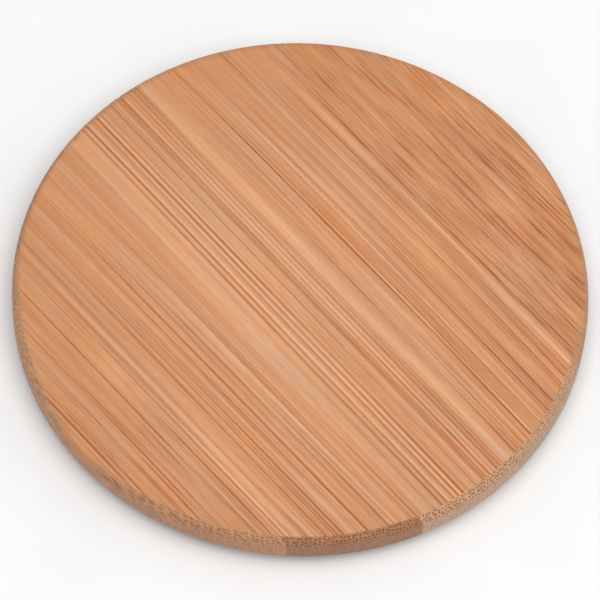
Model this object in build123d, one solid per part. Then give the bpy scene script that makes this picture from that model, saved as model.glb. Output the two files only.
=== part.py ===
from build123d import *
import os
from math import cos, radians, sin, sqrt, tan

# Round wireless charging pad: a bamboo disc, milled hollow from below, over a plastic base cover that
# carries the charging coil and its circuit board. Millimetres. The origin is the centre of the plane the
# rubber feet stand on, +Z is up, +Y points at the cable socket and the bamboo's grain runs along X.

# --- Driving dimensions -----------------------------------------------------------------------------
PAD_DIAMETER = 100.0
BAMBOO_THICKNESS = 5.2
TOP_EDGE_RADIUS = 1.5
BOTTOM_EDGE_RADIUS = 1.0
TOP_WALL = 1.2  # bamboo left between the phone and the coil
SIDE_WALL = 3.5
FOOT_PROUD = 0.8  # how far the feet stand out below the base cover
BASE_PLATE = 1.2
FIT_GAP = 0.1  # slip clearance between pieces that are pushed together

# --- Heights that follow ----------------------------------------------------------------------------
PAD_RADIUS = PAD_DIAMETER / 2
POCKET_RADIUS = PAD_RADIUS - SIDE_WALL
Z_COVER = FOOT_PROUD  # underside of the base cover
Z_SEAT = Z_COVER + BASE_PLATE  # underside of the bamboo, and the cover's inner face
Z_TOP = Z_SEAT + BAMBOO_THICKNESS
Z_CEILING = Z_TOP - TOP_WALL

# --- Screw lugs and feet ----------------------------------------------------------------------------
LUG_AZIMUTHS = (45, 135, 225, 315)
LUG_CIRCLE = 39.5  # radius of the circle that the screws and feet lie on
LUG_RADIUS = 4.5
BOSS_HEIGHT = 1.0  # the cover's bosses meet the bamboo lugs this far above the seat
BOSS_RADIUS = 4.3
Z_LUG = Z_SEAT + BOSS_HEIGHT
FOOT_RADIUS = 4.5
FOOT_RECESS = 0.5
FOOT_EDGE = 0.3
SCREW_RADIUS = 1.0
SCREW_HEAD_RADIUS = 1.8
SCREW_HEAD_HEIGHT = 0.7
Z_SCREW_SHOULDER = 2.1
Z_SCREW_TIP = 5.3
CROSS_WIDTH = 0.5
CROSS_LENGTH = 2.3
CROSS_DEPTH = 0.4
SCREW_TIP_SHARE = 0.2  # radius of the blunt tip, as a share of the shank's
SCREW_HEAD_GAP = 0.15
SCREW_HEAD_EDGE = 0.25
THREAD_GAP = 0.02

# --- Base cover -------------------------------------------------------------------------------------
COVER_RADIUS = POCKET_RADIUS + 1.1
COVER_EDGE = 0.5
RIM_WALL = 1.0
RIM_HEIGHT = 0.8
RIM_LUG_GAP = 10.4
RIM_PORT_GAP = 10.4
COIL_WALL_INNER = 25.3
COIL_WALL = 0.8
COIL_WALL_HEIGHT = 2.2
COIL_WALL_GAP = 12.0
RIB_WIDTH = 1.0
RIB_HEIGHT = 0.8
RIB_AZIMUTHS = (0, 180, 202.5, 247.5, 270, 292.5, 337.5)

# --- Cable socket, USB type C -----------------------------------------------------------------------
SOCKET_WIDTH = 8.94
SOCKET_HEIGHT = 3.16
SOCKET_WALL = 0.3
SOCKET_LENGTH = 8.6
SOCKET_MOUTH_Y = 49.3
SOCKET_Z = 4.0
SOCKET_BACK_Y = SOCKET_MOUTH_Y - SOCKET_LENGTH
NOTCH_WIDTH = 9.5
NOTCH_TOP = 5.8
NOTCH_CORNER = 1.85
SILL_TOP = 3.0
SILL_BOTTOM = 1.2
SILL_FRONT_Y = 49.2
SILL_BACK_Y = 46.2
SILL_GAP = 0.08
TONGUE_WIDTH = 6.69
TONGUE_THICKNESS = 0.7
TONGUE_TIP_Y = SOCKET_MOUTH_Y - 0.8
TONGUE_BLOCK = 2.0  # depth of the insulator block that closes the back of the socket
CONTACT_COUNT = 12  # on each side of the tongue
CONTACT_PITCH = 0.5
CONTACT_WIDTH = 0.26
CONTACT_THICKNESS = 0.06
CONTACT_LENGTH = 3.6
EAR_LENGTH = 1.4
EAR_WIDTH = 1.0
EAR_THICKNESS = 0.3
EAR_YS = (41.9, 43.7)
TONGUE_SLIP = 0.04  # clearance of the insulator block inside the shell
TONGUE_CORNER = 0.2
CONTACT_SETBACK = 0.5

# --- Circuit board ----------------------------------------------------------------------------------
BOARD_INNER = 27.0
BOARD_OUTER = 44.8
BOARD_HALF_ANGLE = 35.0
BOARD_THICKNESS = 1.0
BOARD_LIFT = 0.5
BOARD_CORNER = 0.8
BOARD_SOCKET_GAP = 0.13
Z_BOARD = Z_SEAT + BOARD_LIFT
Z_BOARD_TOP = Z_BOARD + BOARD_THICKNESS
PIN_CIRCLE = 42.3
PIN_AZIMUTHS = (62, 118)
PIN_RADIUS = 0.9
PIN_HOLE_RADIUS = 1.0
PIN_HEAD_RADIUS = 1.5
PIN_HEAD_HEIGHT = 0.5
REST_RADIUS = 1.7
REST_CIRCLE = 29.6
REST_AZIMUTHS = (68, 112)

# --- Coil stack -------------------------------------------------------------------------------------
FOAM_RADIUS = 24.5
FOAM_HOLE = 9.0
FOAM_THICKNESS = 1.4
FERRITE_RADIUS = 25.0
FERRITE_THICKNESS = 1.2
SLOT_WIDTH = 4.2
TAPE_THICKNESS = 0.1
WIRE_RADIUS = 0.5
COIL_INNER = 11.5  # radius of the innermost turn, at the middle of the wire
COIL_PITCH = 1.08
COIL_TURNS = 10
Z_FERRITE = Z_SEAT + FOAM_THICKNESS
Z_COIL_TAPE = Z_FERRITE + FERRITE_THICKNESS
Z_COIL = Z_COIL_TAPE + TAPE_THICKNESS + WIRE_RADIUS
Z_TOP_TAPE = Z_COIL + WIRE_RADIUS
Z_LEAD = Z_BOARD_TOP + WIRE_RADIUS
COIL_OUTER = COIL_INNER + COIL_PITCH * COIL_TURNS
TAPE_MARGIN = 0.2

# --- Leads from the coil and its temperature bead to the board --------------------------------------
LEAD_BEND = 2.0  # radius of the bends along each lead
INNER_LEAD_X = 1.2
INNER_LEAD_END_Y = 29.6
INNER_LEAD_CLIMB = (3.1, 0.7)  # where it climbs to the coil, in Y from its U turn
U_TURN_RADIUS = 1.4
LAST_BEND_RADIUS = 4.0  # the quarter turn that meets the innermost turn of the coil
OUTER_LEAD_X = -3.6
OUTER_LEAD_DROP_YS = (25.6, 28.2)
OUTER_LEAD_END_Y = 30.6
BEAD_RADIUS = 0.9
BEAD_Z = 5.0
BEAD_LEAD_RADIUS = 0.25
BEAD_LEAD_XS = (-0.8, -1.5)
BEAD_LEAD_START_Y = 0.3
BEAD_LEAD_DROP_YS = (3.6, 6.6)
BEAD_LEAD_END_Y = 29.4

# --- Light pipe -------------------------------------------------------------------------------------
PIPE_X = 12.5
PIPE_Z = 4.2
PIPE_RADIUS = 1.0
PIPE_BACK_Y = 43.5
PIPE_FRONT_Y = 48.05
PIPE_FLANGE_RADIUS = 1.3
PIPE_FLANGE = 0.6
PIPE_EDGE = 0.25

# --- Components on the board: X, Y, width, depth, height and the radius of the top edges -------------
CONTROLLER = (-9.6, 36.2, 5.0, 5.0, 0.85, 0.05)
HALF_BRIDGES = [(x, 36.6, 3.3, 3.3, 0.8, 0.05) for x in (7.2, 12.2)]
RESONANT_CAPACITORS = [(x, 31.6, 1.6, 3.2, 1.3, 0.12) for x in (5.5, 7.8, 10.1, 12.4)]
INPUT_CAPACITORS = [(x, 41.0, 1.6, 3.2, 1.3, 0.12) for x in (-8.4, -11.0)]
SENSE_RESISTOR = (0.6, 36.8, 3.2, 1.6, 0.6, 0.05)
INPUT_DIODE = (8.2, 41.2, 1.4, 2.6, 1.0, 0.1)
STATUS_LED = (PIPE_X, 41.9, 3.0, 1.1, 1.4, 0.05)
INDUCTOR = (-15.8, 36.6, 4.0, 4.0, 1.8, 0.2)
INDUCTOR_CORNER = 0.6
PASSIVE_SIZE = (0.6, 1.1, 0.5, 0.08)
# Rows of small passives: the first one's X and Y, the step to the next in X and Y, how many.
PASSIVE_ROWS = [(-14.3, 31.6, 1.6, 0.0, 5), (-5.0, 33.4, 0.0, 1.5, 3), (15.6, 33.2, 1.5, 0.0, 3)]


# --- Helpers ----------------------------------------------------------------------------------------
def disc(radius, z_low, z_high):
    """An upright cylinder on the Z axis between two heights."""
    return Pos(0, 0, (z_low + z_high) / 2) * Cylinder(radius, z_high - z_low)


def ring(inner, outer, z_low, z_high):
    """An upright tube on the Z axis."""
    return disc(outer, z_low, z_high) - disc(inner, z_low - 1, z_high + 1)


def block(x_low, x_high, y_low, y_high, z_low, z_high):
    """A box between two corners."""
    centre = ((x_low + x_high) / 2, (y_low + y_high) / 2, (z_low + z_high) / 2)
    return Pos(*centre) * Box(x_high - x_low, y_high - y_low, z_high - z_low)


def on_circle(radius, azimuth):
    """The point at that azimuth, in degrees from +X, on a circle about the Z axis."""
    return radius * cos(radians(azimuth)), radius * sin(radians(azimuth))


def at_lugs(shape):
    """Copies of a shape drawn on the Z axis, one at each screw lug."""
    return [Pos(*on_circle(LUG_CIRCLE, azimuth), 0) * shape for azimuth in LUG_AZIMUTHS]


def along_y(section, y_low, y_high):
    """A section drawn in X and Z about the origin, run from y_low to y_high."""
    plane = Plane(origin=(0, y_high, 0), x_dir=(1, 0, 0), z_dir=(0, -1, 0))
    return extrude(plane * section, y_high - y_low)


def wire_along(path, radius):
    """A round wire that follows a path."""
    start = Plane(origin=path @ 0, z_dir=path % 0)
    return sweep(start * Circle(radius), path=path)


# --- Bamboo shell -----------------------------------------------------------------------------------
def screw_lugs():
    """Four islands of bamboo left standing in the pocket for the screws, joined to the side wall."""
    lugs = []
    for azimuth, lug in zip(LUG_AZIMUTHS, at_lugs(disc(LUG_RADIUS, Z_LUG, Z_CEILING))):
        web = block(LUG_CIRCLE, PAD_RADIUS - 1, -LUG_RADIUS, LUG_RADIUS, Z_LUG, Z_CEILING)
        lugs += [lug, Rot(0, 0, azimuth) * web]
    return lugs


def socket_notch():
    """The slot through the side wall for the cable socket, open below."""
    height = NOTCH_TOP - Z_SEAT + 1
    section = RectangleRounded(NOTCH_WIDTH, 2 * height, NOTCH_CORNER)
    inner_y = POCKET_RADIUS - 2
    return Pos(0, 0, NOTCH_TOP - height) * along_y(section, inner_y, PAD_RADIUS + 1)


def bamboo_shell():
    shell = disc(PAD_RADIUS, Z_SEAT, Z_TOP)
    rims = shell.edges().filter_by(GeomType.CIRCLE).sort_by(Axis.Z)
    shell = fillet(rims[-1], TOP_EDGE_RADIUS)
    rims = shell.edges().filter_by(GeomType.CIRCLE).sort_by(Axis.Z)
    shell = fillet(rims[0], BOTTOM_EDGE_RADIUS)
    pocket = disc(POCKET_RADIUS, Z_SEAT - 1, Z_CEILING) - screw_lugs()
    pilots = at_lugs(disc(SCREW_RADIUS + THREAD_GAP, Z_SEAT, Z_SCREW_TIP + FIT_GAP))
    pipe_hole = Pos(PIPE_X, 0, PIPE_Z) * along_y(
        Circle(PIPE_RADIUS + FIT_GAP / 2), PIPE_BACK_Y, PAD_RADIUS
    )
    return shell - pocket - pilots - socket_notch() - pipe_hole


# --- Base cover -------------------------------------------------------------------------------------
def socket_sill():
    """The lip that closes the notch below the socket and cradles its rounded lower corners."""
    half = NOTCH_WIDTH / 2 - FIT_GAP
    sill = block(-half, half, SILL_BACK_Y, SILL_FRONT_Y, SILL_BOTTOM, SILL_TOP)
    hollow = RectangleRounded(
        SOCKET_WIDTH + 2 * SILL_GAP,
        SOCKET_HEIGHT + 2 * SILL_GAP,
        SOCKET_HEIGHT / 2 + SILL_GAP - 0.01,
    )
    return sill - Pos(0, 0, SOCKET_Z) * along_y(hollow, SILL_BACK_Y - 1, SILL_FRONT_Y + 1)


def locating_rim():
    """The low wall that drops into the bamboo pocket, cut away at the lugs and at the socket."""
    outer = POCKET_RADIUS - FIT_GAP
    rim = ring(outer - RIM_WALL, outer, Z_SEAT, Z_SEAT + RIM_HEIGHT)
    half = RIM_LUG_GAP / 2
    gap = block(LUG_CIRCLE - 1, PAD_RADIUS, -half, half, Z_SEAT, Z_LUG)
    gaps = [Rot(0, 0, azimuth) * gap for azimuth in LUG_AZIMUTHS]
    half = RIM_PORT_GAP / 2
    gaps.append(block(-half, half, LUG_CIRCLE, PAD_RADIUS, Z_SEAT, Z_LUG))
    return rim - gaps


def coil_wall():
    """The wall that centres the coil stack, open towards the circuit board for the leads."""
    outer = COIL_WALL_INNER + COIL_WALL
    z_high = Z_SEAT + COIL_WALL_HEIGHT
    gap = block(-COIL_WALL_GAP / 2, COIL_WALL_GAP / 2, 0, outer + 1, Z_SEAT, z_high)
    return ring(COIL_WALL_INNER, outer, Z_SEAT, z_high) - gap


def cover_ribs():
    inner = COIL_WALL_INNER + COIL_WALL / 2
    outer = POCKET_RADIUS - FIT_GAP - RIM_WALL / 2
    rib = block(inner, outer, -RIB_WIDTH / 2, RIB_WIDTH / 2, Z_SEAT, Z_SEAT + RIB_HEIGHT)
    return [Rot(0, 0, azimuth) * rib for azimuth in RIB_AZIMUTHS]


def board_rests():
    """Four low pads under the circuit board, two with a pin that is staked over it."""
    rests = []
    for azimuth in PIN_AZIMUTHS:
        place = Pos(*on_circle(PIN_CIRCLE, azimuth), 0)
        head = disc(PIN_HEAD_RADIUS, Z_BOARD_TOP, Z_BOARD_TOP + PIN_HEAD_HEIGHT)
        head = fillet(head.edges().sort_by(Axis.Z)[-1], PIN_HEAD_HEIGHT * 0.8)
        rests.append(place * disc(REST_RADIUS, Z_SEAT, Z_BOARD))
        rests.append(place * disc(PIN_RADIUS, Z_BOARD, Z_BOARD_TOP))
        rests.append(place * head)
    for azimuth in REST_AZIMUTHS:
        rests.append(Pos(*on_circle(REST_CIRCLE, azimuth), 0) * disc(REST_RADIUS, Z_SEAT, Z_BOARD))
    return rests


def base_cover():
    plate = disc(COVER_RADIUS, Z_COVER, Z_SEAT)
    plate = fillet(plate.edges().filter_by(GeomType.CIRCLE).sort_by(Axis.Z)[0], COVER_EDGE)
    bosses = at_lugs(disc(BOSS_RADIUS, Z_SEAT, Z_LUG))
    raised = [locating_rim(), coil_wall(), socket_sill()] + cover_ribs() + board_rests() + bosses
    cover = plate + raised
    recesses = at_lugs(disc(FOOT_RADIUS + FIT_GAP, Z_COVER - 1, Z_COVER + FOOT_RECESS))
    head_seats = at_lugs(disc(SCREW_HEAD_RADIUS + SCREW_HEAD_GAP, Z_COVER, Z_SCREW_SHOULDER))
    screw_holes = at_lugs(disc(SCREW_RADIUS + FIT_GAP, Z_COVER, Z_LUG + 1))
    return cover - recesses - head_seats - screw_holes


# --- Feet and screws --------------------------------------------------------------------------------
def rubber_feet():
    foot = disc(FOOT_RADIUS, 0, Z_COVER + FOOT_RECESS)
    foot = fillet(foot.edges().filter_by(GeomType.CIRCLE).sort_by(Axis.Z)[0], FOOT_EDGE)
    return at_lugs(foot)


def base_screws():
    """Four self-tapping screws with cross recesses, hidden behind the feet."""
    z_head = Z_SCREW_SHOULDER - SCREW_HEAD_HEIGHT
    tip = SCREW_RADIUS
    head = disc(SCREW_HEAD_RADIUS, z_head, Z_SCREW_SHOULDER)
    head = fillet(head.edges().filter_by(GeomType.CIRCLE).sort_by(Axis.Z)[0], SCREW_HEAD_EDGE)
    shank = disc(SCREW_RADIUS, Z_SCREW_SHOULDER, Z_SCREW_TIP - tip)
    cone = Pos(0, 0, Z_SCREW_TIP - tip / 2) * Cone(SCREW_RADIUS, SCREW_RADIUS * SCREW_TIP_SHARE, tip)
    z_cross = z_head + CROSS_DEPTH
    half, reach = CROSS_WIDTH / 2, CROSS_LENGTH / 2
    cross = block(-half, half, -reach, reach, z_head - 1, z_cross)
    cross += block(-reach, reach, -half, half, z_head - 1, z_cross)
    return at_lugs(head + shank + cone - cross)


# --- Coil stack -------------------------------------------------------------------------------------
def support_foam():
    return ring(FOAM_HOLE, FOAM_RADIUS, Z_SEAT, Z_FERRITE)


def ferrite_plate():
    """The magnetic shield under the coil, slotted so that the inner lead can leave below the turns."""
    half = SLOT_WIDTH / 2
    slot = disc(half, Z_FERRITE - 1, Z_COIL_TAPE + 1)
    slot += block(-half, half, 0, FERRITE_RADIUS + 1, Z_FERRITE - 1, Z_COIL_TAPE + 1)
    return disc(FERRITE_RADIUS, Z_FERRITE, Z_COIL_TAPE) - slot


def coil_tape():
    inner = COIL_INNER - WIRE_RADIUS + TAPE_MARGIN
    outer = COIL_OUTER - TAPE_MARGIN
    return ring(inner, outer, Z_COIL_TAPE, Z_COIL_TAPE + TAPE_THICKNESS)


def top_tape():
    inner = COIL_INNER + TAPE_MARGIN
    outer = COIL_OUTER - COIL_PITCH
    return ring(inner, outer, Z_TOP_TAPE, Z_CEILING)


def spiral_arcs():
    """A flat spiral of half circles, each half a pitch wider than the one before, on alternating centres."""
    arcs = []
    for half_turn in range(2 * COIL_TURNS):
        radius = COIL_INNER + half_turn * COIL_PITCH / 2
        side = -1 if half_turn % 2 == 0 else 1
        centre_y = 0 if side < 0 else COIL_PITCH / 2
        ends = (-side * radius, side * radius)
        arcs.append(
            ThreePointArc(
                (0, centre_y + ends[0], Z_COIL),
                (side * radius, centre_y, Z_COIL),
                (0, centre_y + ends[1], Z_COIL),
            )
        )
    return arcs


def inner_lead():
    """From the board, along the ferrite's slot, up in the coil's eye and round to the first turn."""
    near_x = INNER_LEAD_X
    middle_x = near_x + U_TURN_RADIUS
    far_x = middle_x + U_TURN_RADIUS
    turn_y = COIL_INNER - LAST_BEND_RADIUS
    climb_from, climb_to = INNER_LEAD_CLIMB
    run = FilletPolyline(
        (near_x, INNER_LEAD_END_Y, Z_LEAD),
        (near_x, turn_y + climb_from, Z_LEAD),
        (near_x, turn_y + climb_to, Z_COIL),
        (near_x, turn_y, Z_COIL),
        radius=LEAD_BEND,
    )
    u_turn = ThreePointArc(
        (near_x, turn_y, Z_COIL), (middle_x, turn_y - U_TURN_RADIUS, Z_COIL), (far_x, turn_y, Z_COIL)
    )
    last_x = far_x - LAST_BEND_RADIUS
    diagonal = LAST_BEND_RADIUS * sqrt(0.5)
    quarter = ThreePointArc(
        (far_x, turn_y, Z_COIL),
        (last_x + diagonal, turn_y + diagonal, Z_COIL),
        (last_x, COIL_INNER, Z_COIL),
    )
    return [run, u_turn, quarter]


def outer_lead():
    """From the last turn, away from the coil and down onto the board."""
    drop_from, drop_to = OUTER_LEAD_DROP_YS
    return FilletPolyline(
        (0, COIL_OUTER, Z_COIL),
        (OUTER_LEAD_X, COIL_OUTER, Z_COIL),
        (OUTER_LEAD_X, drop_from, Z_COIL),
        (OUTER_LEAD_X, drop_to, Z_LEAD),
        (OUTER_LEAD_X, OUTER_LEAD_END_Y, Z_LEAD),
        radius=LEAD_BEND,
    )


def transmitter_coil():
    """One litz wire: the inner lead, ten flat turns and the outer lead."""
    path = Curve() + inner_lead() + spiral_arcs() + [outer_lead()]
    return wire_along(Wire(path.edges()), WIRE_RADIUS)


def ntc_thermistor():
    """A temperature bead in the coil's eye, with two insulated leads to the board."""
    lead_z = Z_BOARD_TOP + BEAD_LEAD_RADIUS
    drop_from, drop_to = BEAD_LEAD_DROP_YS
    bead = Pos(sum(BEAD_LEAD_XS) / 2, 0, BEAD_Z) * Sphere(BEAD_RADIUS)
    for lead_x in BEAD_LEAD_XS:
        path = FilletPolyline(
            (lead_x, BEAD_LEAD_START_Y, BEAD_Z),
            (lead_x, drop_from, BEAD_Z),
            (lead_x, drop_to, lead_z),
            (lead_x, BEAD_LEAD_END_Y, lead_z),
            radius=LEAD_BEND,
        )
        bead += wire_along(path, BEAD_LEAD_RADIUS)
    return bead


# --- Circuit board and its components ---------------------------------------------------------------
def main_board():
    """A crescent of board beside the coil, cut out around the socket."""
    reach = BOARD_OUTER + 5
    spread = reach * tan(radians(BOARD_HALF_ANGLE))
    wedge = Polygon((0, 0), (spread, reach), (-spread, reach), align=None)
    outline = (Circle(BOARD_OUTER) - Circle(BOARD_INNER)) & wedge
    outline = fillet(outline.vertices(), BOARD_CORNER)
    board = Pos(0, 0, Z_BOARD) * extrude(outline, BOARD_THICKNESS)
    half = SOCKET_WIDTH / 2 + BOARD_SOCKET_GAP
    board -= block(-half, half, SOCKET_BACK_Y - FIT_GAP, PAD_RADIUS, Z_SEAT, Z_CEILING)
    for azimuth in PIN_AZIMUTHS:
        board -= Pos(*on_circle(PIN_CIRCLE, azimuth), 0) * disc(PIN_HOLE_RADIUS, Z_SEAT, Z_CEILING)
    return board


def chip(x, y, width, depth, height, edge):
    """A component body standing on the board, with softened top edges."""
    body = block(
        x - width / 2, x + width / 2, y - depth / 2, y + depth / 2, Z_BOARD_TOP, Z_BOARD_TOP + height
    )
    return fillet(body.faces().sort_by(Axis.Z)[-1].edges(), edge)


def chips(places):
    return [chip(*place) for place in places]


def chip_passives():
    """Small resistors and capacitors, in rows beside the controller and the bridges."""
    passives = []
    for x, y, step_x, step_y, count in PASSIVE_ROWS:
        for index in range(count):
            passives.append(chip(x + step_x * index, y + step_y * index, *PASSIVE_SIZE))
    return passives


def power_inductor():
    """A shielded inductor with rounded corners."""
    x, y, width, depth, height, edge = INDUCTOR
    outline = RectangleRounded(width, depth, INDUCTOR_CORNER)
    body = Pos(x, y, Z_BOARD_TOP) * extrude(outline, height)
    return fillet(body.faces().sort_by(Axis.Z)[-1].edges(), edge)


# --- Cable socket -----------------------------------------------------------------------------------
def obround(width, height):
    return RectangleRounded(width, height, height / 2 - 0.01)


def socket_section(section, y_low, y_high):
    """A section about the socket's axis, run along Y."""
    return Pos(0, 0, SOCKET_Z) * along_y(section, y_low, y_high)


def usb_shell():
    """The socket's drawn steel shell, with four ears soldered to the board."""
    hollow = obround(SOCKET_WIDTH - 2 * SOCKET_WALL, SOCKET_HEIGHT - 2 * SOCKET_WALL)
    shell = socket_section(obround(SOCKET_WIDTH, SOCKET_HEIGHT), SOCKET_BACK_Y, SOCKET_MOUTH_Y)
    for y in EAR_YS:
        half = SOCKET_WIDTH / 2 + EAR_LENGTH
        shell += block(
            -half, half, y - EAR_WIDTH / 2, y + EAR_WIDTH / 2, Z_BOARD_TOP, Z_BOARD_TOP + EAR_THICKNESS
        )
    return shell - socket_section(hollow, SOCKET_BACK_Y - 1, SOCKET_MOUTH_Y + 1)


def usb_tongue():
    """The moulded insulator: a block that closes the back of the shell, and the tongue in its middle."""
    width = SOCKET_WIDTH - 2 * SOCKET_WALL - TONGUE_SLIP
    height = SOCKET_HEIGHT - 2 * SOCKET_WALL - TONGUE_SLIP
    back = socket_section(obround(width, height), SOCKET_BACK_Y, SOCKET_BACK_Y + TONGUE_BLOCK)
    tongue = socket_section(
        RectangleRounded(TONGUE_WIDTH, TONGUE_THICKNESS, TONGUE_CORNER),
        SOCKET_BACK_Y + TONGUE_BLOCK / 2,
        TONGUE_TIP_Y,
    )
    return back + tongue


def usb_contacts():
    """Gold-plated contact strips on both faces of the tongue."""
    y_high = TONGUE_TIP_Y - CONTACT_SETBACK
    strips = []
    for index in range(CONTACT_COUNT):
        x = (index - (CONTACT_COUNT - 1) / 2) * CONTACT_PITCH
        for side in (-1, 1):
            surface = SOCKET_Z + side * TONGUE_THICKNESS / 2
            low, high = sorted((surface, surface + side * CONTACT_THICKNESS))
            half = CONTACT_WIDTH / 2
            strips.append(block(x - half, x + half, y_high - CONTACT_LENGTH, y_high, low, high))
    return strips


# --- Indicator light --------------------------------------------------------------------------------
def light_pipe():
    """A clear rod through the side wall, flanged inside so that it can't be pushed out."""
    rod = along_y(Circle(PIPE_RADIUS), PIPE_BACK_Y, PIPE_FRONT_Y)
    rod = fillet(rod.edges().sort_by(Axis.Y)[-1], PIPE_EDGE)
    rod += along_y(Circle(PIPE_FLANGE_RADIUS), PIPE_BACK_Y, PIPE_BACK_Y + PIPE_FLANGE)
    return Pos(PIPE_X, 0, PIPE_Z) * rod


# --- The whole pad ----------------------------------------------------------------------------------
def numbered(name, shapes):
    """One node for each shape, numbered from 1."""
    return {f"{name}_{index}": shape for index, shape in enumerate(shapes, start=1)}


nodes = {
    "bamboo_shell": bamboo_shell(),
    "base_cover": base_cover(),
    **numbered("rubber_foot", rubber_feet()),
    "base_screws": Compound(children=base_screws()),
    "support_foam": support_foam(),
    "ferrite_plate": ferrite_plate(),
    "coil_tape": coil_tape(),
    "transmitter_coil": transmitter_coil(),
    "top_tape": top_tape(),
    "ntc_thermistor": ntc_thermistor(),
    "main_board": main_board(),
    "controller_ic": chip(*CONTROLLER),
    **numbered("half_bridge", chips(HALF_BRIDGES)),
    **numbered("resonant_capacitor", chips(RESONANT_CAPACITORS)),
    **numbered("input_capacitor", chips(INPUT_CAPACITORS)),
    "power_inductor": power_inductor(),
    "sense_resistor": chip(*SENSE_RESISTOR),
    "input_diode": chip(*INPUT_DIODE),
    "status_led": chip(*STATUS_LED),
    "chip_passives": Compound(children=chip_passives()),
    "usb_shell": usb_shell(),
    "usb_tongue": usb_tongue(),
    "usb_contacts": Compound(children=usb_contacts()),
    "light_pipe": light_pipe(),
}

os.makedirs("parts", exist_ok=True)
for node, shape in nodes.items():
    export_step(shape, f"parts/{node}.step")
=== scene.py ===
from math import cos, radians, sin

import bpy
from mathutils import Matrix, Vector


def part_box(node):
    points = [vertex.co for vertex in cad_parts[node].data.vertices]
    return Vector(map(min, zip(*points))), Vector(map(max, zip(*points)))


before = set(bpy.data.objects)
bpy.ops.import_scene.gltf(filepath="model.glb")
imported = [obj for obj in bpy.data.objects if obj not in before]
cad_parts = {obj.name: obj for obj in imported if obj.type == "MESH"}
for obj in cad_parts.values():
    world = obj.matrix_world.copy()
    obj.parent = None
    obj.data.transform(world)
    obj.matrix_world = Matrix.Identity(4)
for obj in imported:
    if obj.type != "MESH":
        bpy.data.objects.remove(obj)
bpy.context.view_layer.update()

MM = 0.001

# --- View -------------------------------------------------------------------------------------------
CAMERA_AZIMUTH = 46.4
CAMERA_ELEVATION = 61.0
CAMERA_ROLL = 3.21
CAMERA_DISTANCE = 0.9
CAMERA_LENS = 310.2
SENSOR = 36.0

# --- Bamboo, in millimetres in the row frame; the grain runs along X -----------------------------------
STRIP_WIDTH = 20.35
FIRST_JOINT_Y = -34.4
TOP_Z = 7.2
TOP_EDGE_RADIUS = 1.5
WOOD_EXPOSURE = 0.85  # takes back what the studio light adds to the wood's colours
NEAR_RIM = 46
BEND_LENGTH = 45
BEND_WIDTH = 7
BEND_REACH = 2.5
GRAIN_TILT = 0.8  # how far the streaks move sideways with each millimetre of depth

# What is random differs by a seed: one for each strip, one for each kind of mark, one for each of its rows.
STRIP_SEED = 37.7
THIN_SEED = 0.1
BROAD_SEED = 5.4
DARK_SEED = 9.2
PALE_SEED = 2.6
HUE_SEED = 3.1
ROW_SEED = 3.7

# How much each kind of mark counts in the tone of the face, which runs from 0, dark, to 1, light.
STREAKS_COUNT = 0.24
FINE_COUNT = 0.15
FIBRES_COUNT = 0.28
GRIT_COUNT = 0.16
RIM_SHADE = 0.1
DARK_MADE_UP = 0.25  # lightens a strip by what its dark lines take away
FACE_TONES = [
    (0.0, (172, 98, 58)),
    (0.15, (190, 118, 73)),
    (0.3, (202, 135, 87)),
    (0.5, (213, 149, 103)),
    (0.7, (224, 164, 120)),
    (0.85, (232, 174, 132)),
    (1.0, (240, 185, 144)),
]
PINKER = (0.94, 1.0, 1.11)
YELLOWER = (1.06, 1.0, 0.89)

# The end grain: fibre bundles cut across, densest in the bamboo's skin at the top.
BUNDLE_SPACING = 0.58
BUNDLE_ROW = 0.54
BUNDLE_START = 0.17
BUNDLE_CORE = 0.08
BUNDLE_EDGE = 0.25
BUNDLE_COLOUR = (112, 66, 38)
SAW_COLOUR = (124, 84, 60)
SAW_COUNT = 0.32
FAR_END_WOOD = (0.62, 0.35, 0.2)

BAND_RAMPS = 3  # a colour ramp holds too few stops for all the bands of a strip
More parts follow.
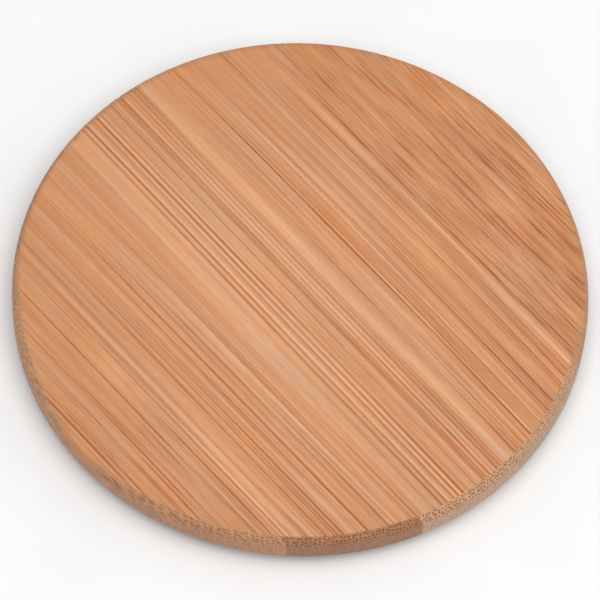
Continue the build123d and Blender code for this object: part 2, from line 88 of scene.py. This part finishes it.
# The glued strips from the -Y edge to the +Y edge. tone: how light the wood is. spacing: between streaks.
# run: how far a streak reaches. streaks: how much they differ. dark and pale: how strong thin lines are.
# patch and clouds: how long the broad changes of tone are, and how strong. wander: how far streaks stray.
# slope and bow: how much the whole grain leans, and how much it sags towards both ends. starts: the X
# where the marks reach full strength. dots: how dark the cut bundles are. end and lower_end: end grain
# under the top edge and below it, as red, green and blue. bands: the marks that stand out, each
# (Y, half its width, how much lighter or darker it is). Their places were read off the photo against a
# millimetre scale. Tones and strengths were adjusted until the averages of the render came close
# to those of the photo.
STRIPS = [
    {
        "tone": 0.53, "spacing": 0.92, "run": 26, "streaks": 0.8, "dark": 0.34, "pale": 0.05, "patch": 14,
        "clouds": 0.3, "wander": 0.12, "slope": 0.004, "bow": 0.0, "starts": -40, "dots": 0.65,
        "end": (201, 148, 107), "lower_end": (204, 151, 115),
        "bands": [
            (-47.6, 0.4, -0.30), (-46.0, 0.6, 0.08), (-44.6, 0.25, -0.15), (-42.0, 0.22, -0.30),
            (-41.0, 0.22, -0.30), (-39.7, 0.22, -0.30), (-38.9, 0.22, -0.20), (-37.6, 0.22, -0.25),
            (-36.4, 0.25, -0.20), (-35.5, 0.25, -0.15),
        ],
    },
    {
        "tone": 0.56, "spacing": 0.92, "run": 50, "streaks": 0.75, "dark": 0.28, "pale": 0.08, "patch": 40,
        "clouds": 0.35, "wander": 0.1, "slope": 0.008, "bow": 0.0, "starts": -24, "dots": 1.0,
        "end": (182, 127, 89), "lower_end": (177, 132, 100),
        "bands": [
            (-34.3, 0.2, 0.10), (-33.9, 0.25, -0.36), (-33.45, 0.2, 0.26), (-33.0, 0.25, -0.32),
            (-32.2, 0.6, 0.12), (-31.3, 0.22, -0.28), (-29.4, 0.3, -0.12), (-28.6, 0.26, -0.52),
            (-27.95, 0.25, 0.18), (-27.45, 0.28, -0.56), (-26.9, 0.25, -0.20), (-26.3, 0.25, -0.34),
            (-25.6, 0.2, -0.15), (-24.9, 0.4, 0.14), (-24.0, 0.25, -0.48), (-23.1, 0.25, 0.14),
            (-22.6, 0.25, -0.52), (-21.3, 0.3, -0.14), (-19.3, 0.4, -0.18), (-18.0, 0.25, 0.12),
            (-17.4, 0.24, -0.38), (-16.8, 0.3, -0.22), (-15.3, 0.3, -0.16), (-14.5, 0.3, -0.25),
        ],
    },
    {
        "tone": 0.62, "spacing": 1.0, "run": 60, "streaks": 0.55, "dark": 0.16, "pale": 0.1, "patch": 45,
        "clouds": 0.4, "wander": 0.05, "slope": -0.0055, "bow": 0.0, "starts": -60, "dots": 0.85,
        "end": (213, 166, 127), "lower_end": (215, 175, 146),
        "bands": [
            (-12.0, 1.3, 0.16), (-10.6, 0.4, -0.10), (-9.6, 0.2, 0.15), (-9.2, 0.26, -0.50),
            (-8.65, 0.3, 0.18), (-8.2, 0.27, -0.54), (-7.7, 0.35, 0.24), (-6.75, 0.26, -0.32),
            (-6.35, 0.24, 0.32), (-5.85, 0.28, -0.54), (-5.35, 0.27, 0.34), (-4.85, 0.3, -0.56),
            (-4.4, 0.25, 0.16), (-3.2, 0.8, 0.06), (-2.3, 0.25, -0.24), (-0.65, 0.45, -0.40),
            (-0.1, 0.5, -0.22), (0.2, 0.35, -0.30), (0.55, 0.22, 0.24), (0.95, 0.26, -0.32),
            (1.4, 0.24, 0.30), (1.75, 0.25, -0.28), (2.2, 0.25, 0.14), (2.7, 0.35, -0.34),
            (3.4, 0.4, -0.32), (4.4, 0.3, 0.12), (5.2, 1.2, 0.22),
        ],
    },
    {
        "tone": 0.56, "spacing": 0.95, "run": 30, "streaks": 0.8, "dark": 0.24, "pale": 0.12, "patch": 20,
        "clouds": 0.35, "wander": 0.12, "slope": 0.0, "bow": 0.4, "starts": -30, "dots": 0.5,
        "end": (208, 162, 127), "lower_end": (199, 168, 145),
        "bands": [
            (7.3, 0.25, -0.20), (8.6, 0.3, -0.16), (10.2, 0.25, 0.12), (11.6, 0.26, -0.50),
            (12.0, 0.22, 0.28), (12.35, 0.24, -0.30), (13.3, 0.25, -0.22), (14.2, 0.3, -0.26),
            (14.6, 0.3, 0.26), (15.3, 0.24, -0.26), (15.8, 0.4, 0.12), (16.9, 0.26, -0.32),
            (17.5, 0.4, 0.10), (18.2, 0.25, -0.16), (18.75, 0.26, -0.40), (19.8, 0.3, -0.16),
            (20.8, 0.6, 0.22), (22.0, 0.3, -0.16), (22.5, 0.4, 0.14), (23.7, 0.7, -0.14),
            (24.6, 0.5, -0.30), (25.8, 0.6, 0.30),
        ],
    },
    {
        "tone": 0.45, "spacing": 0.82, "run": 11, "streaks": 0.85, "dark": 0.34, "pale": 0.04, "patch": 8,
        "clouds": 0.35, "wander": 0.25, "slope": 0.0, "bow": 0.0, "starts": -30, "dots": 0.15,
        "end": (196, 148, 112), "lower_end": (186, 150, 124),
        "bands": [(27.0, 0.35, -0.25), (45.8, 0.8, 0.14)],
    },
]


# --- Node graphs ------------------------------------------------------------------------------------
class Graph:
    """One material's nodes. Every method takes numbers or sockets and returns a socket."""

    def __init__(self, name):
        self.material = bpy.data.materials.new(name)
        self.material.use_nodes = True
        self.nodes = self.material.node_tree.nodes
        self.links = self.material.node_tree.links
        self.shader = self.nodes["Principled BSDF"]

    def put(self, socket, value):
        if isinstance(value, bpy.types.NodeSocket):
            self.links.new(value, socket)
        elif value is not None:
            socket.default_value = value

    def set(self, **inputs):
        """Sets the shader's own inputs, named with underscores for spaces."""
        for name, value in inputs.items():
            self.put(self.shader.inputs[name.replace("_", " ")], value)

    def math(self, operation, a, b=None, c=None):
        node = self.nodes.new("ShaderNodeMath")
        node.operation = operation
        for socket, value in zip(node.inputs, (a, b, c)):
            self.put(socket, value)
        return node.outputs[0]

    def add(self, a, b):
        return self.math("ADD", a, b)

    def subtract(self, a, b):
        return self.math("SUBTRACT", a, b)

    def times(self, a, b):
        return self.math("MULTIPLY", a, b)

    def blend(self, value, low, high, to_low=0.0, to_high=1.0):
        """Smooth step from to_low at low to to_high at high."""
        node = self.nodes.new("ShaderNodeMapRange")
        node.interpolation_type = "SMOOTHSTEP"
        for socket, given in zip(node.inputs, (value, low, high, to_low, to_high)):
            self.put(socket, given)
        return node.outputs[0]

    def blend_linear(self, value, low, high):
        """From 0 at low to 1 at high, and no further."""
        node = self.nodes.new("ShaderNodeMapRange")
        for socket, given in zip(node.inputs, (value, low, high)):
            self.put(socket, given)
        return node.outputs[0]

    def place(self):
        """The point in the row frame, in millimetres: X, Y and Z."""
        coordinates = self.nodes.new("ShaderNodeTexCoord")
        scale = self.nodes.new("ShaderNodeVectorMath")
        scale.operation = "SCALE"
        scale.inputs["Scale"].default_value = 1 / MM
        self.put(scale.inputs[0], coordinates.outputs["Object"])
        split = self.nodes.new("ShaderNodeSeparateXYZ")
        self.put(split.inputs[0], scale.outputs[0])
        return split.outputs[0], split.outputs[1], split.outputs[2]

    def facing(self):
        """How far the surface faces along X, Y and Z, each from 0 to 1."""
        coordinates = self.nodes.new("ShaderNodeTexCoord")
        split = self.nodes.new("ShaderNodeSeparateXYZ")
        self.put(split.inputs[0], coordinates.outputs["Normal"])
        return [self.math("ABSOLUTE", out) for out in split.outputs]

    def vector(self, x, y, z=0.0):
        node = self.nodes.new("ShaderNodeCombineXYZ")
        for socket, value in zip(node.inputs, (x, y, z)):
            self.put(socket, value)
        return node.outputs[0]

    def noise(self, vector, scale=1.0, detail=2.0, roughness=0.5):
        """Smooth noise from 0 to 1, with 0.5 its middle."""
        node = self.nodes.new("ShaderNodeTexNoise")
        node.inputs["Scale"].default_value = scale
        node.inputs["Detail"].default_value = detail
        node.inputs["Roughness"].default_value = roughness
        self.put(node.inputs["Vector"], vector)
        return node.outputs["Fac"]

    def total(self, *terms):
        """The sum of the terms, each given as a value and how much it counts."""
        result = self.times(*terms[0])
        for value, count in terms[1:]:
            result = self.add(result, self.times(value, count))
        return result

    def cells(self, vector, scale=1.0, randomness=1.0, feature="F1", dimensions="3D", output="Distance"):
        """Scattered points: how far the nearest is, or where it is."""
        node = self.nodes.new("ShaderNodeTexVoronoi")
        node.voronoi_dimensions = dimensions
        node.feature = feature
        node.inputs["Scale"].default_value = scale
        node.inputs["Randomness"].default_value = randomness
        self.put(node.inputs["Vector"], vector)
        return node.outputs[output]

    def nearest(self, place, randomness, feature="F1"):
        """Points scattered along a line, one to each unit: the nearest one's place, and how far it is."""
        node = self.nodes.new("ShaderNodeTexVoronoi")
        node.voronoi_dimensions = "1D"
        node.feature = feature
        node.inputs["Scale"].default_value = 1.0
        node.inputs["Randomness"].default_value = randomness
        self.put(node.inputs["W"], place)
        return node.outputs.get("W"), node.outputs["Distance"]

    def ramp(self, value, stops, interpolation="LINEAR"):
        """Colours, or greys given as one number, at places from 0 to 1."""
        node = self.nodes.new("ShaderNodeValToRGB")
        node.color_ramp.interpolation = interpolation
        elements = node.color_ramp.elements
        elements.remove(elements[1])
        elements[0].position = stops[0][0]
        elements[0].color = rgba(stops[0][1])
        for position, colour in stops[1:]:
            elements.new(position).color = rgba(colour)
        self.put(node.inputs[0], value)
        return node.outputs[0]

    def mix(self, amount, a, b, blend_type="MIX"):
        """Colour a where amount is 0, b where it is 1."""
        node = self.nodes.new("ShaderNodeMix")
        node.data_type = "RGBA"
        node.blend_type = blend_type
        self.put(node.inputs["Factor"], amount)
        self.put(node.inputs[6], a if isinstance(a, bpy.types.NodeSocket) else rgba(a))
        self.put(node.inputs[7], b if isinstance(b, bpy.types.NodeSocket) else rgba(b))
        return node.outputs[2]

    def bump(self, height, distance_mm, strength=1.0):
        node = self.nodes.new("ShaderNodeBump")
        node.inputs["Strength"].default_value = strength
        node.inputs["Distance"].default_value = distance_mm * MM
        self.put(node.inputs["Height"], height)
        self.put(self.shader.inputs["Normal"], node.outputs[0])


def rgba(colour):
    """A shader's colour from one grey, or from red, green and blue."""
    if isinstance(colour, (int, float)):
        return (colour, colour, colour, 1.0)
    return (*colour[:3], 1.0)


def screen(red, green, blue):
    """A colour as a screen shows it, red, green and blue from 0 to 255, as linear light."""
    return tuple(
        value / 12.92 if value <= 0.04045 else ((value + 0.055) / 1.055) ** 2.4
        for value in (red / 255, green / 255, blue / 255)
    )


# --- Materials --------------------------------------------------------------------------------------
class Bamboo(Graph):
    """Edge-glued strips of bamboo: long fibre bundles that show as streaks on the face, dots on the ends."""

    def __init__(self):
        super().__init__("bamboo")
        self.x, self.y, self.z = self.place()
        from_first = self.subtract(self.y, FIRST_JOINT_Y - STRIP_WIDTH)
        self.strip = self.math("FLOOR", self.math("DIVIDE", from_first, STRIP_WIDTH))
        self.strip_seed = self.times(self.strip, STRIP_SEED)
        self.y_grain = self.grain_line()
        self.across = self.add(self.y_grain, self.times(self.z, GRAIN_TILT))
        self.depth = self.depth_from_top()

    def by_strip(self, key):
        """A number or a colour that changes from strip to strip."""
        values = [given[key] for given in STRIPS]
        place = self.math("DIVIDE", self.add(self.strip, 0.5), len(values))
        if isinstance(values[0], tuple):
            stops = [(index / len(values), screen(*value)) for index, value in enumerate(values)]
            return self.ramp(place, stops, "CONSTANT")
        low = min(values)
        reach = max(values) - low
        stops = [(index / len(values), (value - low) / reach) for index, value in enumerate(values)]
        return self.add(self.times(self.ramp(place, stops, "CONSTANT"), reach), low)

    def towards_rim(self, value):
        """How far out a place is along one axis: 0 in the middle, 1 near the rim."""
        return self.times(self.times(value, value), 1 / NEAR_RIM**2)

    def grain_line(self):
        """Y as the grain runs: it strays a little, leans, and sags towards both ends."""
        place = self.vector(
            self.times(self.x, 1 / BEND_LENGTH), self.times(self.y, 1 / BEND_WIDTH), self.strip_seed
        )
        bend = self.subtract(self.noise(place, 1.0, 1.0), 0.5)
        y_grain = self.add(self.y, self.times(bend, self.times(self.by_strip("wander"), BEND_REACH)))
        y_grain = self.subtract(y_grain, self.times(self.x, self.by_strip("slope")))
        return self.add(y_grain, self.times(self.towards_rim(self.x), self.by_strip("bow")))

    def depth_from_top(self):
        """Millimetres from the flat top, round the rounded edge and down the side."""
        round_starts = TOP_Z - TOP_EDGE_RADIUS
        lean = self.math("ARCCOSINE", self.blend_linear(self.z, round_starts, TOP_Z))
        upright = self.math("MAXIMUM", self.subtract(round_starts, self.z), 0.0)
        return self.add(self.times(lean, TOP_EDGE_RADIUS), upright)

    def bands(self):
        """How much lighter or darker the marks that stand out make the wood."""
        total = 0.0
        for index, given in enumerate(STRIPS):
            start = FIRST_JOINT_Y + (index - 1) * STRIP_WIDTH
            across = self.math("DIVIDE", self.subtract(self.y_grain, start), STRIP_WIDTH)
            here = self.math("COMPARE", self.strip, index, 0.1)
            for part in range(BAND_RAMPS):
                stops = [(0.0, 0.5)]
                for y, half_width, lightness in given["bands"][part::BAND_RAMPS]:
                    for step, share in ((-1, 0), (0, 1), (1, 0)):
                        place = (y + step * half_width - start) / STRIP_WIDTH
                        stops.append((place, 0.5 + lightness * share))
                lighter = self.subtract(self.ramp(across, stops, "EASE"), 0.5)
                total = self.add(total, self.times(lighter, here))
        return total

    def clouds(self, length, width, detail=1.0):
        """Noise drawn out along the grain, from -0.5 to 0.5."""
        along = self.math("DIVIDE", self.x, length)
        place = self.vector(along, self.math("DIVIDE", self.across, width), self.strip_seed)
        return self.subtract(self.noise(place, 1.0, detail), 0.5)

    def row_noise(self, row_middle, run, seed):
        """Noise from 0 to 1 along the grain, its own for each row."""
        along = self.math("DIVIDE", self.x, run)
        return self.noise(self.vector(along, self.times(row_middle, ROW_SEED), seed), 1.0, 1.0)

    def layers(self, width, run, seed):
        """Flat layers of uneven width along the grain, each -1 to 1 along its run, soft at their edges."""
        uneven = 0.9
        soft_edge = 0.2
        seed = self.add(self.strip_seed, seed)
        row = self.add(self.math("DIVIDE", self.across, width), seed)
        middle, _ = self.nearest(row, uneven)
        _, edge = self.nearest(row, uneven, "DISTANCE_TO_EDGE")
        swing = self.times(self.subtract(self.row_noise(middle, run, seed), 0.5), 3.0)
        return self.times(swing, self.blend(edge, 0.0, soft_edge))

    def thin_lines(self, spacing, run, seed, half_width):
        """Thin lines along the grain at uneven spacing, each coming and going along its run, 0 to 1."""
        uneven = 0.8
        full_strength = 0.3 * half_width
        seed = self.add(self.strip_seed, seed)
        row = self.add(self.math("DIVIDE", self.across, spacing), seed)
        middle, off = self.nearest(row, uneven)
        line = self.blend(self.times(off, spacing), full_strength, half_width, 1.0, 0.0)
        return self.times(line, self.blend(self.row_noise(middle, run, seed), 0.38, 0.68))

    def face(self):
        """The colour of wood cut along the grain, how glossy its fine streaks are, and its relief."""
        spacing = self.by_strip("spacing")
        run = self.by_strip("run")
        thin = self.layers(self.times(spacing, 0.65), run, THIN_SEED)
        broad = self.layers(self.times(spacing, 1.5), self.times(run, 1.3), BROAD_SEED)
        dark = self.thin_lines(self.times(spacing, 0.9), run, DARK_SEED, 0.21)
        pale = self.thin_lines(self.times(spacing, 1.3), run, PALE_SEED, 0.18)
        streaks = self.times(self.add(thin, broad), self.by_strip("streaks"))
        lines = self.times(dark, self.by_strip("dark"))
        lines = self.subtract(lines, self.times(pale, self.by_strip("pale")))
        fine = self.clouds(run, 0.25, 0.0)
        fibres = self.clouds(3.0, 0.28)
        grit = self.subtract(self.noise(self.vector(self.x, self.y, self.z), 3.2, 1.0), 0.5)
        marks = self.total(
            (streaks, STREAKS_COUNT), (fine, FINE_COUNT), (fibres, FIBRES_COUNT), (grit, GRIT_COUNT)
        )
        bolder_to_right = self.blend(self.x, -48, 20, 0.65, 1.15)
        tone = self.times(self.subtract(marks, lines), bolder_to_right)
        tone = self.add(tone, self.times(self.bands(), self.band_strength()))
        tone = self.add(tone, self.times(self.clouds(self.by_strip("patch"), 2.8), self.by_strip("clouds")))
        from_middle = self.add(self.towards_rim(self.x), self.towards_rim(self.y))
        tone = self.subtract(tone, self.times(from_middle, RIM_SHADE))
        tone = self.add(tone, self.by_strip("tone"))
        tone = self.add(tone, self.times(self.by_strip("dark"), DARK_MADE_UP))
        colour = self.ramp(tone, [(place, screen(*shade)) for place, shade in FACE_TONES])
        colour = self.mix(1.0, colour, self.tint(), "MULTIPLY")
        relief = self.subtract(self.add(streaks, fine), lines)
        return colour, self.blend(fine, -0.3, 0.3, 0.62, 0.52), relief

    def band_strength(self):
        """The marks that stand out come and go along the grain, and are faint before their strip's start."""
        soft = 12
        starts = self.by_strip("starts")
        begun = self.blend(self.x, self.subtract(starts, soft), self.add(starts, soft), 0.25, 1.0)
        come_and_go = self.add(self.times(self.clouds(40, 1.5), 1.6), 1.0)
        return self.times(come_and_go, begun)

    def tint(self):
        """Pinker and yellower layers, in broad patches."""
        patches = self.times(self.clouds(18, 5.0), 2.0)
        hue = self.add(self.layers(1.3, 30, HUE_SEED), patches)
        return self.mix(self.blend(hue, -0.9, 0.9), PINKER, YELLOWER)

    def bundle_distance(self):
        """Millimetres to the nearest fibre bundle's middle. They run along X, packed like a honeycomb."""
        irregular = 0.55
        across = self.add(self.y_grain, self.strip_seed)
        row = self.math("DIVIDE", self.add(self.depth, BUNDLE_START), BUNDLE_ROW)
        column = self.add(self.math("DIVIDE", across, BUNDLE_SPACING), self.times(row, 0.5))
        nearest = self.cells(self.vector(column, row), 1.0, irregular, dimensions="2D", output="Position")
        split = self.nodes.new("ShaderNodeSeparateXYZ")
        self.put(split.inputs[0], nearest)
        off_row = self.subtract(row, split.outputs[1])
        off_column = self.subtract(self.subtract(column, split.outputs[0]), self.times(off_row, 0.5))
        off_across = self.times(off_column, BUNDLE_SPACING)
        off_depth = self.times(off_row, BUNDLE_ROW)
        squares = self.add(self.times(off_across, off_across), self.times(off_depth, off_depth))
        return self.math("SQRT", squares)

    def end_grain(self):
        """The colour of wood cut across the grain. The end at -X is plainer, with fainter bundles."""
        skin = self.blend(self.depth, 1.3, 2.3, 1.0, 0.0)
        dots = self.blend(self.bundle_distance(), BUNDLE_CORE, BUNDLE_EDGE, 1.0, 0.0)
        dots = self.times(dots, self.add(self.times(skin, 0.6), 0.32))
        dots = self.times(self.times(dots, self.by_strip("dots")), self.blend(self.x, -10, 10, 0.6, 1.0))
        saw_place = self.vector(self.times(self.x, 0.4), self.times(self.y, 3.2), self.times(self.z, 0.5))
        saw_marks = self.blend(self.noise(saw_place), 0.3, 0.7)
        wood = self.mix(skin, self.by_strip("lower_end"), self.by_strip("end"))
        wood = self.mix(self.blend(self.x, -10, 10, 0.5, 1.0), FAR_END_WOOD, wood)
        wood = self.mix(self.times(saw_marks, SAW_COUNT), wood, screen(*SAW_COLOUR))
        return self.mix(dots, wood, screen(*BUNDLE_COLOUR))

    def end_share(self):
        """How much the wood looks cut across: fully on the side, less round the far part of the edge."""
        facing_x, _, _ = self.facing()
        down_the_side = self.blend(self.depth, 1.2, 2.4, 0.0, 0.85)
        cut_across = self.math("MAXIMUM", self.blend(facing_x, 0.0, 0.12), down_the_side)
        far = self.math("MAXIMUM", self.blend(self.x, -38, -24, 1.0, 0.0), self.blend(self.y, 22, 38))
        kept_face = self.times(far, self.blend(self.depth, 0.3, 1.5, 1.0, 0.0))
        return self.times(cut_across, self.subtract(1.0, kept_face))


def bamboo():
    wood = Bamboo()
    face, roughness, relief = wood.face()
    colour = wood.mix(wood.end_share(), face, wood.end_grain())
    wood.set(
        Base_Color=wood.mix(1.0, colour, WOOD_EXPOSURE, "MULTIPLY"),
        Roughness=roughness,
        Specular_IOR_Level=0.3,
    )
    wood.bump(relief, 0.02, 0.5)
    return wood.material


def moulded_plastic(name, colour, roughness, grain_mm=0.25):
    """Plastic with the fine spark-eroded grain of its mould and slightly uneven gloss."""
    graph = Graph(name)
    place = graph.vector(*graph.place())
    grain = graph.noise(place, 1 / grain_mm, 3.0, 0.6)
    patches = graph.noise(place, 1 / 12, 2.0)
    graph.set(
        Base_Color=graph.mix(graph.blend(patches, 0.3, 0.7), colour, [value * 1.25 for value in colour]),
        Roughness=graph.blend(grain, 0.2, 0.8, roughness - 0.08, roughness + 0.08),
    )
    graph.bump(grain, 0.02, 0.6)
    return graph.material


def rubber():
    graph = Graph("foot_rubber")
    place = graph.vector(*graph.place())
    speckle = graph.noise(place, 6.0, 3.0, 0.7)
    graph.set(
        Base_Color=graph.ramp(speckle, [(0.3, screen(38, 38, 39)), (0.7, screen(56, 55, 54))]),
        Roughness=graph.blend(speckle, 0.3, 0.7, 0.78, 0.9),
        Specular_IOR_Level=0.3,
    )
    graph.bump(speckle, 0.015, 0.8)
    return graph.material


def metal(name, colour, roughness, scratch_mm=0.15, stretch=12.0):
    """Bare metal with fine scratches along Y."""
    graph = Graph(name)
    x, y, z = graph.place()
    scratches = graph.noise(graph.vector(x, graph.times(y, 1 / stretch), z), 1 / scratch_mm, 3.0, 0.6)
    graph.set(
        Base_Color=graph.ramp(scratches, [(0.25, [value * 0.8 for value in colour]), (0.75, colour)]),
        Roughness=graph.blend(scratches, 0.3, 0.7, roughness - 0.07, roughness + 0.07),
        Metallic=1.0,
    )
    graph.bump(scratches, 0.004, 0.5)
    return graph.material


def foam():
    graph = Graph("foam")
    pores = graph.cells(graph.vector(*graph.place()), 3.0)
    graph.set(
        Base_Color=graph.ramp(pores, [(0.0, screen(30, 30, 32)), (0.6, screen(70, 70, 74))]),
        Roughness=0.95,
    )
    graph.bump(pores, 0.12, 0.8)
    return graph.material


def ferrite():
    graph = Graph("ferrite")
    place = graph.vector(*graph.place())
    sinter = graph.noise(place, 5.0, 4.0, 0.7)
    graph.set(
        Base_Color=graph.ramp(sinter, [(0.3, screen(62, 62, 66)), (0.7, screen(92, 92, 96))]),
        Roughness=graph.blend(sinter, 0.3, 0.7, 0.4, 0.62),
    )
    graph.bump(sinter, 0.02, 0.6)
    return graph.material


def adhesive_tape():
    graph = Graph("adhesive_tape")
    x, y, z = graph.place()
    fibres = graph.noise(graph.vector(x, graph.times(y, 0.3), z), 2.5, 3.0, 0.65)
    graph.set(
        Base_Color=graph.ramp(fibres, [(0.3, screen(206, 196, 168)), (0.7, screen(228, 221, 200))]),
        Roughness=0.7,
    )
    graph.bump(fibres, 0.02, 0.4)
    return graph.material


def litz_copper():
    """Enamelled strands that twist around the wire, which winds around Z."""
    graph = Graph("coil_copper")
    x, y, z = graph.place()
    angle = graph.math("ARCTAN2", y, x)
    radius = graph.math("SQRT", graph.add(graph.times(x, x), graph.times(y, y)))
    along = graph.times(angle, radius)
    across = graph.add(graph.times(radius, 9.0), graph.times(z, 9.0))
    strands = graph.math("SINE", graph.add(graph.times(along, 2.2), across))
    patches = graph.noise(graph.vector(x, y, z), 0.8, 2.0)
    copper = graph.mix(graph.blend(patches, 0.3, 0.7), screen(176, 98, 56), screen(204, 124, 76))
    graph.set(
        Base_Color=graph.mix(graph.blend(strands, -1.0, -0.2), screen(96, 48, 28), copper),
        Roughness=0.32,
        Metallic=0.9,
    )
    graph.bump(strands, 0.03, 0.8)
    return graph.material


def epoxy():
    graph = Graph("epoxy_bead")
    flow = graph.noise(graph.vector(*graph.place()), 1.2, 2.0)
    graph.set(
        Base_Color=graph.ramp(flow, [(0.3, screen(34, 28, 24)), (0.7, screen(58, 46, 38))]),
        Roughness=graph.blend(flow, 0.3, 0.7, 0.18, 0.32),
    )
    graph.bump(flow, 0.03, 0.4)
    return graph.material


def circuit_board():
    """Green solder mask over copper tracks; the glass weave shows at the edges."""
    graph = Graph("circuit_board")
    x, y, z = graph.place()
    tracks = graph.cells(graph.vector(x, y), 0.9, 1.0, "DISTANCE_TO_EDGE", "2D")
    copper = graph.blend(tracks, 0.07, 0.1, 0.0, 1.0)
    mask = graph.mix(copper, screen(14, 62, 36), screen(26, 96, 56))
    _, _, facing_z = graph.facing()
    weave = graph.noise(graph.vector(x, y, graph.times(z, 6)), 3.0, 2.0)
    core = graph.ramp(weave, [(0.3, screen(150, 140, 92)), (0.7, screen(184, 174, 120))])
    graph.set(
        Base_Color=graph.mix(graph.blend(facing_z, 0.4, 0.6), core, mask),
        Roughness=graph.blend(weave, 0.3, 0.7, 0.28, 0.4),
    )
    graph.bump(copper, 0.03, 0.5)
    return graph.material


def chip_ceramic():
    graph = Graph("chip_ceramic")
    grain = graph.noise(graph.vector(*graph.place()), 4.0, 3.0, 0.6)
    graph.set(
        Base_Color=graph.ramp(grain, [(0.3, screen(150, 118, 88)), (0.7, screen(172, 140, 106))]),
        Roughness=graph.blend(grain, 0.3, 0.7, 0.4, 0.55),
    )
    graph.bump(grain, 0.01, 0.4)
    return graph.material


def led_plastic():
    graph = Graph("led_plastic")
    phosphor = graph.noise(graph.vector(*graph.place()), 3.0, 2.0)
    graph.set(
        Base_Color=graph.ramp(phosphor, [(0.3, screen(232, 230, 214)), (0.7, screen(244, 240, 196))]),
        Roughness=graph.blend(phosphor, 0.3, 0.7, 0.25, 0.4),
    )
    graph.bump(phosphor, 0.01, 0.3)
    return graph.material


def clear_plastic():
    graph = Graph("clear_plastic")
    flow = graph.noise(graph.vector(*graph.place()), 0.8, 2.0)
    graph.set(
        Base_Color=graph.ramp(flow, [(0.3, screen(236, 240, 243)), (0.7, screen(246, 249, 250))]),
        Roughness=graph.blend(flow, 0.3, 0.7, 0.2, 0.35),
        IOR=1.49,
        Transmission_Weight=0.35,
    )
    graph.bump(flow, 0.01, 0.3)
    return graph.material


def studio_floor():
    graph = Graph("studio_floor")
    paper = graph.noise(graph.vector(*graph.place()), 0.05, 2.0)
    graph.set(
        Base_Color=graph.ramp(paper, [(0.3, 0.86), (0.7, 0.88)]),
        Roughness=0.9,
        Specular_IOR_Level=0.1,
    )
    return graph.material


def dress_nodes():
    """Gives every CAD node its material."""
    chips = moulded_plastic("chip_epoxy", screen(36, 36, 38), 0.55, 0.12)
    ceramic = chip_ceramic()
    ferrite_grey = ferrite()
    tape = adhesive_tape()
    finishes = {
        "bamboo_shell": bamboo(),
        "base_cover": moulded_plastic("black_plastic", screen(30, 30, 32), 0.5),
        "rubber_foot": rubber(),
        "base_screws": metal("screw_steel", screen(176, 176, 178), 0.35),
        "support_foam": foam(),
        "ferrite_plate": ferrite_grey,
        "power_inductor": ferrite_grey,
        "coil_tape": tape,
        "top_tape": tape,
        "transmitter_coil": litz_copper(),
        "ntc_thermistor": epoxy(),
        "main_board": circuit_board(),
        "controller_ic": chips,
        "half_bridge": chips,
        "sense_resistor": chips,
        "input_diode": chips,
        "resonant_capacitor": ceramic,
        "input_capacitor": ceramic,
        "chip_passives": ceramic,
        "status_led": led_plastic(),
        "usb_shell": metal("socket_steel", screen(196, 196, 198), 0.28),
        "usb_tongue": moulded_plastic("tongue_plastic", screen(28, 28, 30), 0.45, 0.1),
        "usb_contacts": metal("contact_gold", screen(226, 184, 110), 0.22, 0.1),
        "light_pipe": clear_plastic(),
    }
    for name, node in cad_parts.items():
        family = name.rstrip("0123456789").rstrip("_")
        for slot in node.material_slots:
            slot.material = finishes[family]


# --- Studio -----------------------------------------------------------------------------------------
def floor():
    half = 3.0
    mesh = bpy.data.meshes.new("studio_floor")
    corners = [(-half, -half, 0), (half, -half, 0), (half, half, 0), (-half, half, 0)]
    mesh.from_pydata(corners, [], [(0, 1, 2, 3)])
    mesh.materials.append(studio_floor())
    plane = bpy.data.objects.new("studio_floor", mesh)
    bpy.context.scene.collection.objects.link(plane)


def towards(azimuth, elevation):
    """The direction from the pad to a viewer at that azimuth and elevation, in degrees; 0 looks along +Y."""
    turn, rise = radians(azimuth), radians(elevation)
    return Vector((sin(turn) * cos(rise), -cos(turn) * cos(rise), sin(rise)))


def softbox(name, azimuth, elevation, distance, size, power):
    data = bpy.data.lights.new(name, "AREA")
    data.shape = "DISK"
    data.size = size
    data.energy = power
    light = bpy.data.objects.new(name, data)
    light.location = towards(azimuth, elevation) * distance
    light.rotation_euler = light.location.to_track_quat("Z", "Y").to_euler()
    bpy.context.scene.collection.objects.link(light)


def studio():
    world = bpy.data.worlds.new("studio")
    world.use_nodes = True
    background = world.node_tree.nodes["Background"]
    background.inputs["Color"].default_value = rgba(1.0)
    background.inputs["Strength"].default_value = 0.5
    bpy.context.scene.world = world
    bpy.context.scene.view_settings.view_transform = "Standard"
    softbox("overhead_softbox", CAMERA_AZIMUTH + 20, 75, 1.6, 2.0, 20)
    softbox("side_softbox", CAMERA_AZIMUTH + 95, 30, 1.6, 1.4, 4)


def camera():
    target = Vector((0, 0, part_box("bamboo_shell")[0].z))
    back = towards(CAMERA_AZIMUTH, CAMERA_ELEVATION)
    data = bpy.data.cameras.new("camera")
    data.lens = CAMERA_LENS
    data.sensor_width = SENSOR
    viewer = bpy.data.objects.new("camera", data)
    viewer.rotation_euler = back.to_track_quat("Z", "Y").to_euler()
    viewer.rotation_euler.rotate_axis("Z", radians(CAMERA_ROLL))
    viewer.location = target + back * CAMERA_DISTANCE
    bpy.context.scene.collection.objects.link(viewer)
    bpy.context.scene.camera = viewer


camera()
floor()
studio()
dress_nodes()
